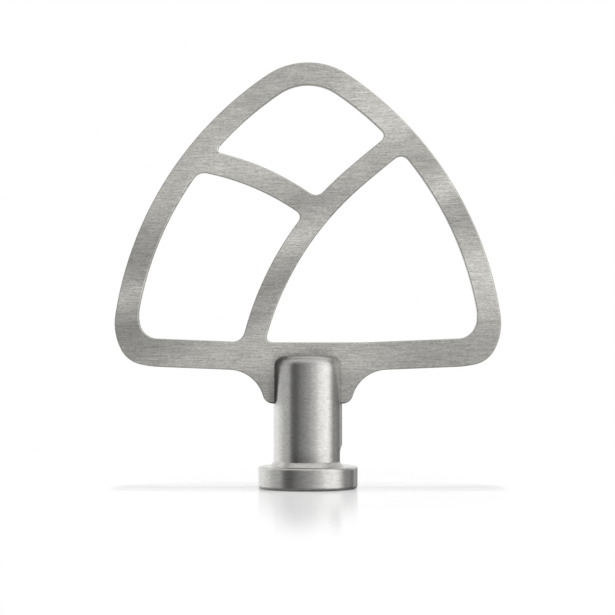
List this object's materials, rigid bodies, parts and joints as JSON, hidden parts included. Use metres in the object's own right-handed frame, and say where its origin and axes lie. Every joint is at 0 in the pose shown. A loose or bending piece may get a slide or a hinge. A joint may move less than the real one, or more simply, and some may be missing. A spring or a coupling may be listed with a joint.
{
  "type": "stand mixer flat beater",
  "caption": "Flat beater for a tilt-head stand mixer: a pierced steel plate with curved ribs, standing in a flanged hub with a bayonet shaft socket.",
  "frame": {"origin": "centre of the flange's flat end, on the hub's axis, where the part stands on its flange", "axes": "+Z along the hub's axis towards the blade's crown, +X along the blade's width towards the side of the lock slot, -Y towards the viewer, square to the plate"},
  "size_m": [0.135, 0.0348, 0.149],
  "materials": {
    "plate_steel": "stainless, straight brushed grain along the blade's width",
    "hub_steel": "stainless, turned and brushed round its axis"
  },
  "bodies": {
    "root": {"blade": "plate_steel", "hub": "hub_steel"}
  },
  "joints": []
}
